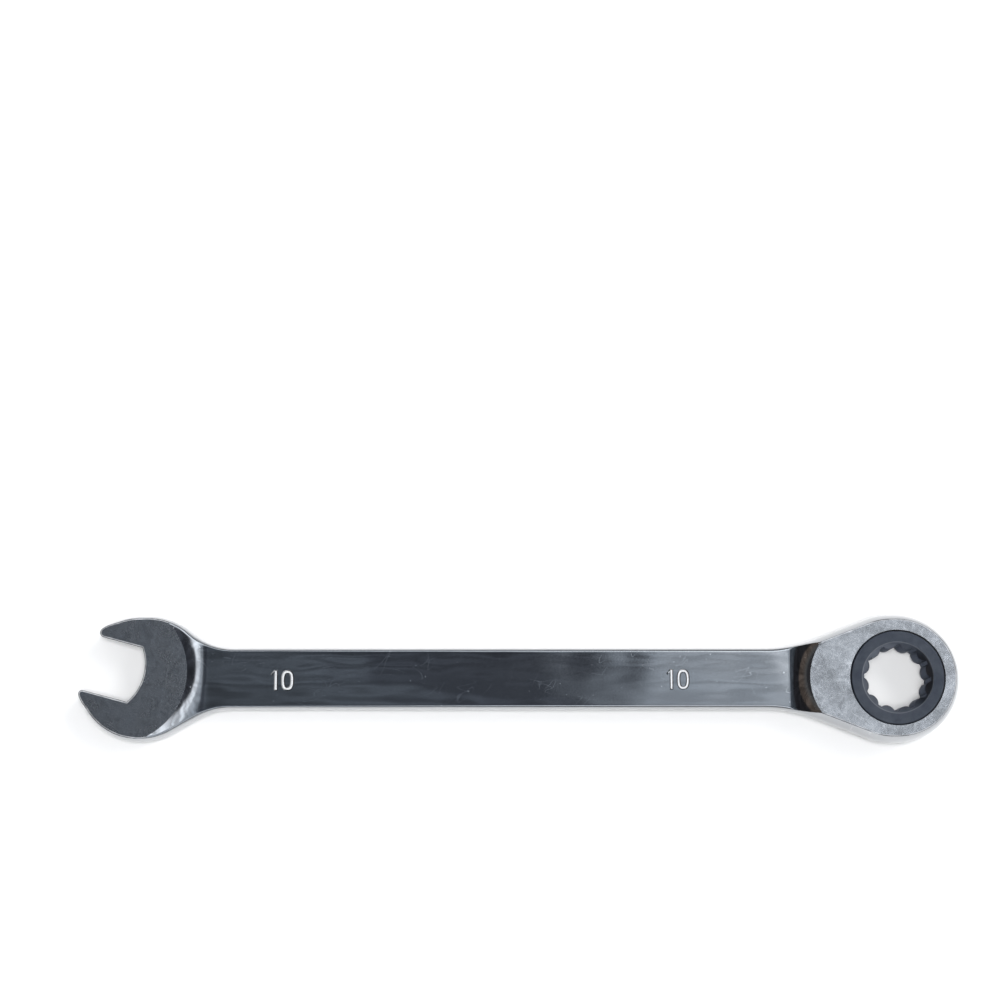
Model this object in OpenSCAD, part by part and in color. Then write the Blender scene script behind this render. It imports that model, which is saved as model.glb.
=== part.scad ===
// Ratcheting combination wrench: an open jaw at one end and a one-way ratchet ring at the other.
// The handle lies along X with the ring at +X. Z = 0 is the plane that the ring's face lies on.

/* [Overall] */
// Length from the jaw's tip to the end of the ring
overall_length = 159; // [130:1:200]
// Across-flats size of the nut that both ends fit
nut_size = 10; // [8:0.5:12]
// Play between the nut and the wrench, across the flats
nut_play = 0.1; // [0.05:0.01:0.2]
// Radius of the bulge of the forged side walls, seen in section
crown_radius = 9.3; // [8.5:0.1:20]

/* [Handle] */
// Width of the handle at mid-height
handle_width = 11; // [9:0.1:13]
// Thickness of the handle
handle_thickness = 4.6; // [3.6:0.1:5.6]

/* [Ring end] */
// Thickness of the ring end's wall round the gear, at mid-height
ring_wall = 2.35; // [2.1:0.05:4]
// Thickness of the ring end
ring_thickness = 8.4; // [7.4:0.1:10.4]
// Length by which the ring end is longer than round, towards the handle
ring_belly = 1; // [0.2:0.1:3]
// Angle at which each side of the ring end narrows to the handle
ring_taper = 21; // [16:1:30]
// Radius of the hollow where the ring end meets the handle
ring_fillet = 25; // [10:1:40]
// Radius of the arc that ends the ring's flat face, towards the handle
ring_face_radius = 10.85; // [9:0.05:14]
// Distance of that arc's centre from the ring's axis
ring_face_shift = 4.9; // [3:0.1:7]
// Length of the slope from the ring's face down to the handle
ring_ramp = 3.5; // [2.5:0.1:6]

/* [Open end] */
// Radius of the open end at mid-height
open_radius = 11.3; // [10.5:0.05:13]
// Thickness of the open end
open_thickness = 5.8; // [5:0.1:7]
// Angle between the jaw and the handle
jaw_angle = 15; // [10:1:20]
// Distance by which the jaw's middle line is off the open end's centre, towards the upper jaw
jaw_offset = 0.4; // [0:0.1:0.8]
// Depth of the jaw's throat beyond the open end's centre
throat_depth = 0.6; // [0:0.1:1.5]
// Radius of the throat's arc
throat_radius = 8.8; // [7:0.1:12]
// Rounding of the upper jaw's tip
upper_tip_radius = 0.9; // [0.5:0.1:1.4]
// Rounding of the lower jaw's tip
lower_tip_radius = 0.7; // [0.3:0.1:1.4]
// Length by which the upper shoulder is longer than round
upper_belly = 1.55; // [0.5:0.05:3]
// Angle at which the upper shoulder narrows to the handle
upper_taper = 40; // [30:1:50]
// Length by which the lower shoulder is longer than round
lower_belly = 0.2; // [0.1:0.05:2]
// Angle at which the lower shoulder narrows to the handle
lower_taper = 30; // [25:1:45]
// Radius of the hollows where the open end meets the handle
open_fillet = 12; // [6:0.5:20]
// Radius of the arc that ends the open end's flat face, towards the handle
open_face_radius = 13; // [12:0.1:15]
// Distance of that arc's centre from the open end's centre, towards the mouth
open_face_shift = 4.5; // [3:0.1:6]
// Length of the slope from the open end's face down to the handle
open_ramp = 3.9; // [2:0.1:5]

/* [Ratchet] */
// Number of teeth round the gear
gear_teeth = 72; // [60:12:84]
// Radius over the tips of the gear's teeth
gear_radius = 9.1; // [8.8:0.05:11]
// Height of the gear's teeth
tooth_height = 0.45; // [0.35:0.05:0.55]
// Radial step from the root of the teeth down to the plain collars above and below them
collar_step = 0.25; // [0.15:0.05:0.5]
// Depth of the gear's faces below the faces of the ring end
gear_recess = 0.15; // [0:0.05:0.5]
// Height of the lip that holds the gear in at the top
lip_height = 1.5; // [1:0.1:2]
// Angle by which the points of the socket are turned from the handle's line
socket_turn = -3; // [-15:1:15]
// Radius of the rounded lands between the points of the socket
land_radius = 1.5; // [1.2:0.05:1.7]
// Depth of the points behind the corners of the nut
point_relief = 0.17; // [0.1:0.01:0.3]
// Radial width of the bevel that the socket's mouths have outside its points
mouth_margin = 0.35; // [0.15:0.05:0.6]
// Depth of the socket's bevelled mouths
mouth_depth = 0.9; // [0.5:0.1:1.5]

/* [Retaining ring] */
// Thickness of the retaining ring
snap_thickness = 0.8; // [0.6:0.1:1]
// Radial width of the retaining ring
snap_width = 1.15; // [0.9:0.05:1.2]
// Depth of the retaining ring in from the lower face
snap_depth = 0.5; // [0.4:0.1:0.7]
// Width of the gap in the retaining ring
snap_gap = 4; // [2:0.5:6]

/* [Pawl] */
// Radius of the pawl's round back
pawl_radius = 3.85; // [3.4:0.05:4.1]
// Distance of the pawl's centre outside the tips of the gear's teeth
pawl_offset = 0.4; // [0.1:0.1:0.9]
// Height by which the pawl's pocket is lower than the gear's teeth, at the top and again below
pawl_shelf = 0.4; // [0.3:0.1:0.8]
// Distance that the pawl backs off to let the teeth pass
pawl_travel = 0.6; // [0.55:0.05:0.7]
// Length of the spring between its seats
spring_length = 5.3; // [4.5:0.1:6]
// Outer radius of the spring
spring_radius = 0.94; // [0.8:0.02:1.1]
// Thickness of the spring's wire
spring_wire = 0.28; // [0.24:0.02:0.32]
// Number of turns in the spring
spring_turns = 7; // [5:1:8]
// Depth of the spring's seat in the pawl
spring_seat = 1.35; // [1:0.05:1.8]

/* [Fits] */
// Radial clearance of the gear's collar in the lip, and of its teeth in the pawl
running_clearance = 0.06; // [0.03:0.01:0.1]
// Radial clearance round the tips of the gear's teeth and round the spring
bore_clearance = 0.1; // [0.06:0.01:0.15]
// Clearance above and below each moving piece
end_float = 0.1; // [0.05:0.01:0.15]
// Clearance between the pawl's back and its pocket when the pawl is fully back
pocket_clearance = 0.15; // [0.1:0.01:0.25]

/* [Hidden] */

$fn = 96;
past = 1;  // how far a cutter runs past the face that it opens
blank_stock = 0.4;  // stock left on the blank's walls for the wall trimming to take off
seam = 0.01;  // each stretch of wall is cut this much past the last, so that they cross cleanly
overlap = 1.5;  // distance by which a stretch of wall runs over the next one
slope_sink = 0.3;  // depth by which each head's slope runs on into the handle's slab
trim_stock = 2 * blank_stock;  // how far a wall's trim reaches outside its widest line
tip_share = 0.1;  // half of a tooth's flat tip, as a share of the tooth's pitch
root_share = 0.42;  // distance from a tooth's middle to the end of its flank, as a share of its pitch
spring_steps = 16;  // steps in each turn of the spring
spring_sides = 6;  // sides of its wire

mid_z = ring_thickness / 2;
handle_half = handle_width / 2;
nut_half = (nut_size + nut_play) / 2;

// Ring end, with its axis at ring_x
gear_bore = gear_radius + bore_clearance;
ring_radius = gear_bore + ring_wall;
ring_x = overall_length / 2 - ring_radius;

// Jaw, in the jaw's own frame: x out of the mouth, y towards the upper jaw
upper_flat = jaw_offset + nut_half;
lower_flat = nut_half - jaw_offset;
throat_x = throat_radius - throat_depth;

// Centre of the rounding of a jaw's tip, for a flat at this distance and a tip of this radius
function tip_centre(flat, tip) = [sqrt(pow(open_radius - tip, 2) - pow(flat + tip, 2)), flat + tip];

// The lower tip reaches furthest from the handle
lower_tip = tip_centre(lower_flat, lower_tip_radius);
open_reach = lower_tip.x * cos(jaw_angle) + lower_tip.y * sin(jaw_angle) + lower_tip_radius;
open_x = open_reach - overall_length / 2;

// Bores round the gear
lip_z = ring_thickness - lip_height;
snap_z = snap_depth + snap_thickness;
tooth_low = snap_z + end_float;
tooth_high = lip_z - end_float;
tooth_root = gear_radius - tooth_height;
collar_radius = tooth_root - collar_step;
lip_bore = collar_radius + running_clearance;
snap_inner = lip_bore + bore_clearance;
snap_outer = snap_inner + snap_width;

// Pawl pocket and spring hole
pawl_distance = gear_radius + pawl_offset;
pocket_radius = pawl_radius + pawl_travel + pocket_clearance;
pocket_low = tooth_low + pawl_shelf;
pocket_high = tooth_high - pawl_shelf;
pawl_low = pocket_low + end_float;
pawl_height = pocket_high - end_float - pawl_low;
spring_z = (pocket_low + pocket_high) / 2;
pawl_back = pawl_distance + pawl_radius;
spring_front = pawl_back - spring_seat;
spring_hole = spring_radius + bore_clearance;
coil_radius = spring_radius - spring_wire / 2;
coil_rings = spring_turns * spring_steps;

// Socket
point_radius = nut_half / cos(30) + point_relief;
mouth_radius = point_radius + mouth_margin;
land_distance = (nut_half + land_radius) / cos(15);

// Outline of one shoulder: a round end, a straight taper and a hollow up to the handle's edge.
// Its frame has the round end's centre at 0, the handle towards +X and the shoulder towards +Y.
function taper_start(r, belly, taper) = [belly + r * sin(taper), r * cos(taper)];
function corner_x(r, belly, taper, half) =
    taper_start(r, belly, taper).x + (taper_start(r, belly, taper).y - half) / tan(taper);
function shoulder_end(r, belly, taper, fillet, half) =
    corner_x(r, belly, taper, half) + fillet * tan(taper / 2);
function hollow_start(end, taper, fillet, half) =
    [end - fillet * sin(taper), half + fillet * (1 - cos(taper))];

ring_end = shoulder_end(ring_radius, ring_belly, ring_taper, ring_fillet, handle_half);
upper_end = shoulder_end(open_radius, upper_belly, upper_taper, open_fillet, handle_half);
lower_end = shoulder_end(open_radius, lower_belly, lower_taper, open_fillet, handle_half);

// Plan of one shoulder, grown outwards by stock on every side
module shoulder_plan(r, belly, taper, fillet, stock) {
    start = taper_start(r + stock, belly, taper);
    half = handle_half + stock;
    end = shoulder_end(r + stock, belly, taper, fillet - stock, half);
    hollow = hollow_start(end, taper, fillet - stock, half);
    difference() {
        polygon([[0, 0], [0, r + stock], [belly, r + stock], start, hollow, [end, hollow.y], [end, 0]]);
        translate([end, handle_half + fillet]) circle(r = fillet - stock);
    }
    translate([belly, 0]) intersection() {
        circle(r = r + stock);
        square(r + 2 * stock);
    }
}

// What is trimmed off outside the wall's bulge: x = 0 is the wall's widest line, at mid-height
module wall_trim() {
    bulge = crown_radius - sqrt(pow(crown_radius, 2) - pow(ring_thickness / 2, 2));
    difference() {
        translate([-bulge - blank_stock, -mid_z - past])
            square([bulge + blank_stock + trim_stock, ring_thickness + 2 * past]);
        translate([-crown_radius, 0]) circle(r = crown_radius);
    }
}

// Trims a straight stretch of wall. It starts early and ends late by the two overlaps.
module trim_line(start, heading, length, early, late) {
    translate([start.x, start.y, mid_z]) rotate(heading) translate([-early, -seam, 0])
        rotate([90, 0, 90]) linear_extrude(height = early + length + late) wall_trim();
}

// Trims a wall that bulges round a centre
module trim_round(centre, r, from, to) {
    translate([centre.x, centre.y, mid_z]) rotate(from) rotate_extrude(angle = to - from)
        translate([r, 0]) wall_trim();
}

// Trims a wall that is hollow round a centre, and overlaps the straight walls on both sides of it
module trim_hollow(centre, r, from, to) {
    over = asin(overlap / r);
    translate([centre.x, centre.y, mid_z]) rotate(from - over)
        rotate_extrude(angle = to - from + 2 * over)
            translate([r + 2 * seam, 0]) mirror([1, 0]) wall_trim();
}

// Trims the straight stretches of one shoulder's wall
module trim_shoulder_lines(r, belly, taper, fillet) {
    start = taper_start(r, belly, taper);
    end = shoulder_end(r, belly, taper, fillet, handle_half);
    hollow = hollow_start(end, taper, fillet, handle_half);
    trim_line([0, r], 0, belly, overlap, overlap);
    trim_line(start, -taper, norm(hollow - start), overlap, 0);
}

// Trims the curved stretches of one shoulder's wall, which lie between the straight ones
module trim_shoulder_curves(r, belly, taper, fillet) {
    end = shoulder_end(r, belly, taper, fillet, handle_half);
    trim_round([belly, 0], r, 90 - taper, 90);
    trim_hollow([end, handle_half + fillet], fillet, 270 - taper, 270);
}

// A disc with a straight slope round it, from the head's thickness down into the handle's slab
module pad(r, ramp, thickness) {
    rise = (thickness - handle_thickness) / 2;
    rim = r + ramp * (rise + slope_sink) / rise;
    low = handle_thickness / 2 - slope_sink;
    translate([0, 0, mid_z]) rotate_extrude()
        polygon([[0, -thickness / 2], [r, -thickness / 2], [rim, -low], [rim, low],
                 [r, thickness / 2], [0, thickness / 2]]);
}

// A slab of the given thickness, centred on mid-height, from the 2D shape drawn inside it
module slab(thickness) {
    translate([0, 0, mid_z - thickness / 2]) linear_extrude(height = thickness) children();
}

module ring_plan() {
    translate([ring_x, 0]) for (side = [0, 1])
        mirror([1, 0]) mirror([0, side])
            shoulder_plan(ring_radius, ring_belly, ring_taper, ring_fillet, blank_stock);
    translate([ring_x, 0]) circle(r = ring_radius + blank_stock);
}

module open_plan() {
    translate([open_x, 0]) {
        shoulder_plan(open_radius, upper_belly, upper_taper, open_fillet, blank_stock);
        mirror([0, 1])
            shoulder_plan(open_radius, lower_belly, lower_taper, open_fillet, blank_stock);
        circle(r = open_radius + blank_stock);
    }
}

// Blank of the ring end, with its face ending in an arc and a slope
module ring_blank() {
    reach = ring_radius + blank_stock + past;
    intersection() {
        slab(ring_thickness) ring_plan();
        union() {
            translate([ring_x - ring_face_shift, 0]) pad(ring_face_radius, ring_ramp, ring_thickness);
            translate([ring_x - ring_face_shift, -reach, -past])
                cube([ring_face_shift + reach, 2 * reach, ring_thickness + 2 * past]);
        }
    }
}

// Blank of the open end, with its face ending in an arc and a slope
module open_blank() {
    intersection() {
        slab(open_thickness) open_plan();
        translate([open_x, 0]) rotate(180 - jaw_angle) translate([open_face_shift, 0])
            pad(open_face_radius, open_ramp, open_thickness);
    }
}

// Blank of the handle, as far as the centres of both ends
module handle_blank() {
    slab(handle_thickness) {
        ring_plan();
        open_plan();
        translate([open_x, -handle_half - blank_stock])
            square([ring_x - open_x, handle_width + 2 * blank_stock]);
    }
}

// Trims the straight stretches of the whole outer wall
module trim_lines() {
    upper_x = open_x + upper_end;
    lower_x = open_x + lower_end;
    translate([ring_x, 0]) mirror([1, 0]) for (side = [0, 1])
        mirror([0, side]) trim_shoulder_lines(ring_radius, ring_belly, ring_taper, ring_fillet);
    translate([open_x, 0]) {
        trim_shoulder_lines(open_radius, upper_belly, upper_taper, open_fillet);
        mirror([0, 1]) trim_shoulder_lines(open_radius, lower_belly, lower_taper, open_fillet);
    }
    trim_line([upper_x, handle_half], 0, ring_x - ring_end - upper_x, 0, 0);
    mirror([0, 1]) trim_line([lower_x, handle_half], 0, ring_x - ring_end - lower_x, 0, 0);
}

// Trims the curved stretches of the whole outer wall
module trim_curves() {
    translate([ring_x, 0]) mirror([1, 0]) {
        trim_round([0, 0], ring_radius, 90, 270);
        for (side = [0, 1])
            mirror([0, side]) trim_shoulder_curves(ring_radius, ring_belly, ring_taper, ring_fillet);
    }
    translate([open_x, 0]) {
        trim_round([0, 0], open_radius, 90, 270);
        trim_shoulder_curves(open_radius, upper_belly, upper_taper, open_fillet);
        mirror([0, 1]) trim_shoulder_curves(open_radius, lower_belly, lower_taper, open_fillet);
    }
}

// Corner that is cut off a jaw's tip to round it
module tip_corner(flat, tip) {
    centre = tip_centre(flat, tip);
    out = centre * (open_radius + 2 * past) / (open_radius - tip);
    difference() {
        polygon([centre, [centre.x, flat - past], [open_radius + 2 * past, flat - past],
                 [open_radius + 2 * past, out.y], out]);
        translate(centre) circle(r = tip);
    }
}

// Plan of the jaw's opening, in the jaw's frame
module jaw_plan() {
    translate([0, jaw_offset]) intersection() {
        translate([throat_x, 0]) circle(r = throat_radius);
        translate([-throat_depth - past, -nut_half]) square([throat_x, nut_half * 2]);
    }
    translate([throat_x - throat_depth - past - past, jaw_offset - nut_half])
        square([open_radius + 2 * past, 2 * nut_half]);
    tip_corner(upper_flat, upper_tip_radius);
    mirror([0, 1]) tip_corner(lower_flat, lower_tip_radius);
}

// Bores and pocket for the ratchet, about the gear's axis
module ratchet_bores() {
    translate([0, 0, -past]) cylinder(r = gear_bore, h = lip_z + past);
    cylinder(r = lip_bore, h = ring_thickness + past);
    translate([0, 0, snap_depth]) cylinder(r = snap_outer + bore_clearance, h = snap_thickness);
    translate([-pawl_distance, 0, pocket_low])
        cylinder(r = pocket_radius, h = pocket_high - pocket_low);
    translate([-pawl_distance, 0, spring_z]) rotate([0, -90, 0])
        cylinder(r = spring_hole, h = spring_front + spring_length - pawl_distance);
}

module wrench_body() {
    color([0.55, 0.58, 0.61]) difference() {
        difference() {
            difference() {
                union() {
                    handle_blank();
                    ring_blank();
                    open_blank();
                }
                trim_lines();
            }
            trim_curves();
        }
        translate([open_x, 0, -past]) rotate(180 - jaw_angle) mirror([0, 1])
            linear_extrude(height = ring_thickness + 2 * past) jaw_plan();
        translate([ring_x, 0, 0]) ratchet_bores();
    }
}

// Outline of the gear's teeth: a narrow flat on each tip and in each root
function tooth_outline(tip, root) = [
    for (i = [0 : gear_teeth - 1],
         corner = [[-root_share, root], [-tip_share, tip], [tip_share, tip], [root_share, root]])
        let (a = (i + corner[0]) * 360 / gear_teeth) corner[1] * [cos(a), sin(a)]
];

// Twelve-point socket with rounded lands, so that the nut is driven on its flats
module socket_plan() {
    difference() {
        circle(r = point_radius);
        for (i = [0 : 11])
            rotate(socket_turn + 15 + 30 * i) translate([land_distance, 0]) circle(r = land_radius);
    }
}

module ratchet_gear() {
    height = ring_thickness - 2 * gear_recess;
    color([0.23, 0.25, 0.29]) translate([ring_x, 0, 0]) difference() {
        union() {
            translate([0, 0, gear_recess]) cylinder(r = collar_radius, h = height);
            translate([0, 0, tooth_low]) linear_extrude(height = tooth_high - tooth_low)
                polygon(tooth_outline(gear_radius, tooth_root));
        }
        translate([0, 0, -past]) linear_extrude(height = ring_thickness + 2 * past) socket_plan();
        for (side = [-1, 1])
            translate([0, 0, mid_z]) rotate([side > 0 ? 0 : 180, 0, 0])
                translate([0, 0, height / 2 - mouth_depth])
                    cylinder(r1 = nut_half, r2 = mouth_radius, h = mouth_depth);
    }
}

// Round-backed pawl whose front carries the counterpart of the gear's teeth
module pawl() {
    color([0.42, 0.43, 0.45]) translate([ring_x, 0, 0]) difference() {
        translate([0, 0, pawl_low]) linear_extrude(height = pawl_height) difference() {
            translate([-pawl_distance, 0]) circle(r = pawl_radius);
            polygon(tooth_outline(gear_radius + running_clearance, tooth_root + running_clearance));
        }
        translate([-spring_front, 0, spring_z]) rotate([0, -90, 0])
            cylinder(r = spring_hole, h = spring_seat + past);
    }
}

// Points of the spring's wire: a ring of corners at each step along the coil
function coil_point(ring, side) = let (
    turn = ring * 360 / spring_steps,
    rise = spring_wire / 2 + (spring_length - spring_wire) * ring / coil_rings,
    around = side * 360 / spring_sides,
    r = coil_radius + spring_wire / 2 * cos(around)
) [rise + spring_wire / 2 * sin(around), r * cos(turn), r * sin(turn)];

module pawl_spring() {
    points = [for (ring = [0 : coil_rings], side = [0 : spring_sides - 1]) coil_point(ring, side)];
    wall = [for (ring = [0 : coil_rings - 1], side = [0 : spring_sides - 1])
        let (a = ring * spring_sides, b = a + spring_sides, next = (side + 1) % spring_sides)
        [a + side, b + side, b + next, a + next]];
    first = [for (side = [0 : spring_sides - 1]) side];
    last = [for (side = [spring_sides - 1 : -1 : 0]) coil_rings * spring_sides + side];
    color([0.75, 0.75, 0.72]) translate([ring_x - spring_front - spring_length, 0, spring_z])
        polyhedron(points, concat(wall, [first, last]), convexity = 10);
}

// Open ring that snaps into the groove under the gear's teeth
module retaining_ring() {
    color([0.5, 0.5, 0.52]) translate([ring_x, 0, snap_depth]) difference() {
        cylinder(r = snap_outer, h = snap_thickness);
        translate([0, 0, -past]) cylinder(r = snap_inner, h = snap_thickness + 2 * past);
        translate([0, -snap_gap / 2, -past])
            cube([snap_outer + past, snap_gap, snap_thickness + 2 * past]);
    }
}

wrench_body();
ratchet_gear();
pawl();
pawl_spring();
retaining_ring();
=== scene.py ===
"""Looks of a ratcheting combination wrench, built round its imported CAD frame.

Sizes are in millimetres, angles in degrees. MM turns them into metres when a mesh is made.
The handle lies along X with the ring at +X, and the body is the same above and below mid_z.
"""
import math

import bpy
import numpy as np
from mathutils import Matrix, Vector
from mathutils.geometry import delaunay_2d_cdt


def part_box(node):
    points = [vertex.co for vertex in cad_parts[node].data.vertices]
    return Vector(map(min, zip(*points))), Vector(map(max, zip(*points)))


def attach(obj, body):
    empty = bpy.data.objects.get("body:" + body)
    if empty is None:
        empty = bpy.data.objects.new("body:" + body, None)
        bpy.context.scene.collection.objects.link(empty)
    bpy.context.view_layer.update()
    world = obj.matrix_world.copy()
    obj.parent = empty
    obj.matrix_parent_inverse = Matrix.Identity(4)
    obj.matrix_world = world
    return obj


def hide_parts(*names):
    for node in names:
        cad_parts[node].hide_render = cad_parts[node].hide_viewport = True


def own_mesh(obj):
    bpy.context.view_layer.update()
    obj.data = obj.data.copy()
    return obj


MM = 0.001
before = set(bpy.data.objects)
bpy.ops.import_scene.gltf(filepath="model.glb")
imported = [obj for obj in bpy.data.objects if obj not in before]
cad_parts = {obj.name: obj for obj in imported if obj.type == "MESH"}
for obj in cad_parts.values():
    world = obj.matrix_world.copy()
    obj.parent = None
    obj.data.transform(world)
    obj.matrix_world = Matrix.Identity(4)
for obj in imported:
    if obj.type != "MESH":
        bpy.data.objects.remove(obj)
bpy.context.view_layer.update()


def cad_size(node):
    """Lowest and highest corner of a CAD node, in mm."""
    low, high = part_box(node)
    return np.array(low) / MM, np.array(high) / MM


# ---- Sizes that come from the frame
body_low, body_high = cad_size("wrench_body")
gear_low, gear_high = cad_size("ratchet_gear")
snap_low, snap_high = cad_size("retaining_ring")
spring_low, spring_high = cad_size("pawl_spring")
ring_x = (gear_low[0] + gear_high[0]) / 2
mid_z = body_high[2] / 2
ring_radius = body_high[0] - ring_x
gear_radius = (gear_high[1] - gear_low[1]) / 2
snap_outer = (snap_high[1] - snap_low[1]) / 2
spring_length = spring_high[0] - spring_low[0]

# ---- Sizes of the body that the frame's boxes don't give
handle_edge = 5.5  # half the handle's width at mid-height
handle_half = 2.3  # half the handle's thickness
crown_radius = 9.3  # bulge of the side walls in section
# of each shoulder: its level stretch, its angle to the handle and the hollow where they meet
ring_belly, ring_taper, ring_fillet = 1.0, 21, 25
# of each face: the arc that ends it, that arc's centre from the head's, and the slope's length
ring_face_radius, ring_face_shift, ring_ramp = 10.85, 4.9, 3.5
open_radius, open_half = 11.3, 2.9
jaw_angle, jaw_offset, nut_half = 15, 0.4, 5.05
throat_depth, throat_radius = 0.6, 8.8
upper_tip, lower_tip = 0.9, 0.7
upper_belly, upper_taper = 1.55, 40
lower_belly, lower_taper, open_fillet = 0.2, 30, 12
open_face_radius, open_face_shift, open_ramp = 13.0, 4.5, 3.9
lip_bore, gear_bore, lip_z = 8.46, 9.2, 6.9
pawl_offset, pocket_radius, pocket_low, pocket_high = 9.5, 4.6, 1.8, 6.4
spring_hole = 1.04
spring_room = 2.5  # extra length of the spring's hole
spring_drop = 0.1  # how far that hole is below mid-height

# ---- Detail that only the looks need
outline_step = 0.35  # longest step along the outline
upper_tip_step, lower_tip_step = 0.12, 0.08  # and round the jaw's tips
weld = 0.02  # points of the outline closer than this are one
plan_step = 0.7  # spacing of the points inside the flat faces
row_step = 0.4  # spacing of the points along a row, and round a bore's mouth
slope_rows, foot_rows = 14, 3  # rows of points down each head's slope, and past its foot
grid_before, grid_after = -0.1, 1.3  # shares of a slope before and after which a plain grid is used
rim_insets = (0.2, 0.5)  # distances from a face's rim of the rows of points that follow it
beyond_rim, beside_share = 0.25, 0.8  # room kept past those rows, and share of an inset kept by them
row_inset = 0.05  # how far inside the rim the ends of a head's face stop
face_edge = 0.16  # rounding of the heads' edges
face_spread = 1.8  # its width in the plan as a share of its height
handle_round = 0.5  # rounding of the handle's edges
handle_bow = 0.06  # fall of the handle's flats from the middle to the edges
crown_start, crown_fade = 0.1, 3.5  # distances from the jaw over which the walls' bulge grows
bore_bevel = 0.14  # bevel round each mouth of the bore
groove_play = 0.1  # room round the retaining ring in its groove
highlight_rows = 2  # rows of an edge's rounding, next to a head's face, that get a painted highlight


def polar(r, angle):
    """Point at a distance and an angle from the origin."""
    return np.array([r * math.cos(math.radians(angle)), r * math.sin(math.radians(angle))])


def arc(centre, r, start, stop, step=outline_step):
    """Points of an arc, both ends included."""
    count = max(3, math.ceil(math.radians(abs(stop - start)) * r / step) + 1)
    return [np.array(centre) + polar(r, a) for a in np.linspace(start, stop, count)]


def line(start, stop, step=outline_step):
    """Points of a straight stretch, both ends included."""
    start, stop = np.array(start, float), np.array(stop, float)
    count = max(2, math.ceil(np.linalg.norm(stop - start) / step) + 1)
    return [start + (stop - start) * t for t in np.linspace(0, 1, count)]


def shoulder(r, belly, taper, fillet):
    """One shoulder from the round end's top to the handle's edge. The handle is towards +X."""
    top = np.array([belly, 0]) + polar(r, 90 - taper)
    slope = math.radians(taper)
    corner = top[0] + (top[1] - handle_edge) / math.tan(slope)
    end = corner + fillet * math.tan(slope / 2)
    centre = (end, handle_edge + fillet)
    hollow = arc(centre, fillet, 270 - taper, 270)
    return [*line((0, r), (belly, r)), *arc((belly, 0), r, 90, 90 - taper),
            *line(top, hollow[0]), *hollow]


def tip_centre(flat, tip):
    """Centre of a jaw tip's rounding, in the jaw's frame."""
    return np.array([math.sqrt((open_radius - tip) ** 2 - (flat + tip) ** 2), flat + tip])


upper_flat, lower_flat = nut_half + jaw_offset, nut_half - jaw_offset
low_tip = tip_centre(lower_flat, lower_tip)
high_tip = tip_centre(upper_flat, upper_tip)
open_reach = (low_tip[0] * math.cos(math.radians(jaw_angle))
              + low_tip[1] * math.sin(math.radians(jaw_angle)) + lower_tip)
open_x = body_low[0] + open_reach


def from_jaw(points):
    """Moves points from the jaw's frame (x out of the mouth, y to the upper jaw) into the plan."""
    out, up = polar(1, 180 - jaw_angle), polar(1, 90 - jaw_angle)
    return [np.array([open_x, 0]) + p[0] * out + p[1] * up for p in points]


def jaw_outline():
    """The jaw from the upper tip, down the throat and out to the lower tip."""
    throat_x = throat_radius - throat_depth
    half_turn = math.degrees(math.asin(nut_half / throat_radius))
    throat = arc((throat_x, jaw_offset), throat_radius, 180 - half_turn, 180 + half_turn)
    lean = math.degrees(math.atan2(high_tip[1], high_tip[0]))
    high = arc(high_tip, upper_tip, lean, -90, upper_tip_step)
    lean = math.degrees(math.atan2(low_tip[1], low_tip[0]))
    low = arc(low_tip * (1, -1), lower_tip, 90, -lean, lower_tip_step)
    return from_jaw([*high, *line(high[-1], throat[0]), *throat, *line(throat[-1], low[0]), *low])


def angle_about(point, centre):
    """Angle of a point round a centre, from 0 to 360."""
    return math.degrees(math.atan2(point[1] - centre[1], point[0] - centre[0])) % 360


def body_outline():
    """The whole outline at mid-height, anticlockwise."""
    ring = [p * (-1, 1) + (ring_x, 0)
            for p in shoulder(ring_radius, ring_belly, ring_taper, ring_fillet)]
    upper = [p + (open_x, 0) for p in shoulder(open_radius, upper_belly, upper_taper, open_fillet)]
    lower = [p * (1, -1) + (open_x, 0)
             for p in shoulder(open_radius, lower_belly, lower_taper, open_fillet)]
    jaw = jaw_outline()
    centre = (open_x, 0)
    path = [
        *arc((ring_x, 0), ring_radius, -90, 90), *ring, *line(ring[-1], upper[-1]), *upper[::-1],
        *arc(centre, open_radius, 90, angle_about(jaw[0], centre)), *jaw,
        *arc(centre, open_radius, angle_about(jaw[-1], centre), 270), *lower,
        *line(lower[-1], ring[-1] * (1, -1)), *[p * (1, -1) for p in ring[::-1]],
    ]
    kept = [path[0]]
    for point in path[1:]:
        if np.linalg.norm(point - kept[-1]) > weld:
            kept.append(point)
    if np.linalg.norm(kept[0] - kept[-1]) < weld:
        kept.pop()
    return np.array(kept)


def inward(points):
    """Direction into the shape at each point of an anticlockwise loop, longer at a corner."""
    ahead = np.roll(points, -1, 0) - points
    ahead /= np.linalg.norm(ahead, axis=1)[:, None]
    behind = np.roll(ahead, 1, 0)
    left = np.stack([-ahead[:, 1], ahead[:, 0]], 1)
    left_behind = np.stack([-behind[:, 1], behind[:, 0]], 1)
    both = left + left_behind
    return both / (1 + (left * left_behind).sum(1))[:, None]


def ease(t):
    """0 to 1 with level ends."""
    t = np.clip(t, 0, 1)
    return t * t * (3 - 2 * t)


def slope_profile(t):
    """A head's slope down to the handle: 1 at its face, 0 at the handle, hollow at its foot."""
    t = np.clip(t, 0, 1)
    return (1 - t) ** 2


ring_face_x = ring_x - ring_face_shift
ring_foot = ring_face_x - ring_face_radius - ring_ramp
open_face_x, open_face_y = np.array([open_x, 0]) + polar(open_face_shift, 180 - jaw_angle)
open_foot = open_face_x + open_face_radius + open_ramp


def face_end(centre, r, y):
    """How far the arc that ends a flat face reaches from its centre along X, at a height in the plan."""
    return np.sqrt(np.maximum(r * r - (y - centre) ** 2, 0.01))


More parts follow.
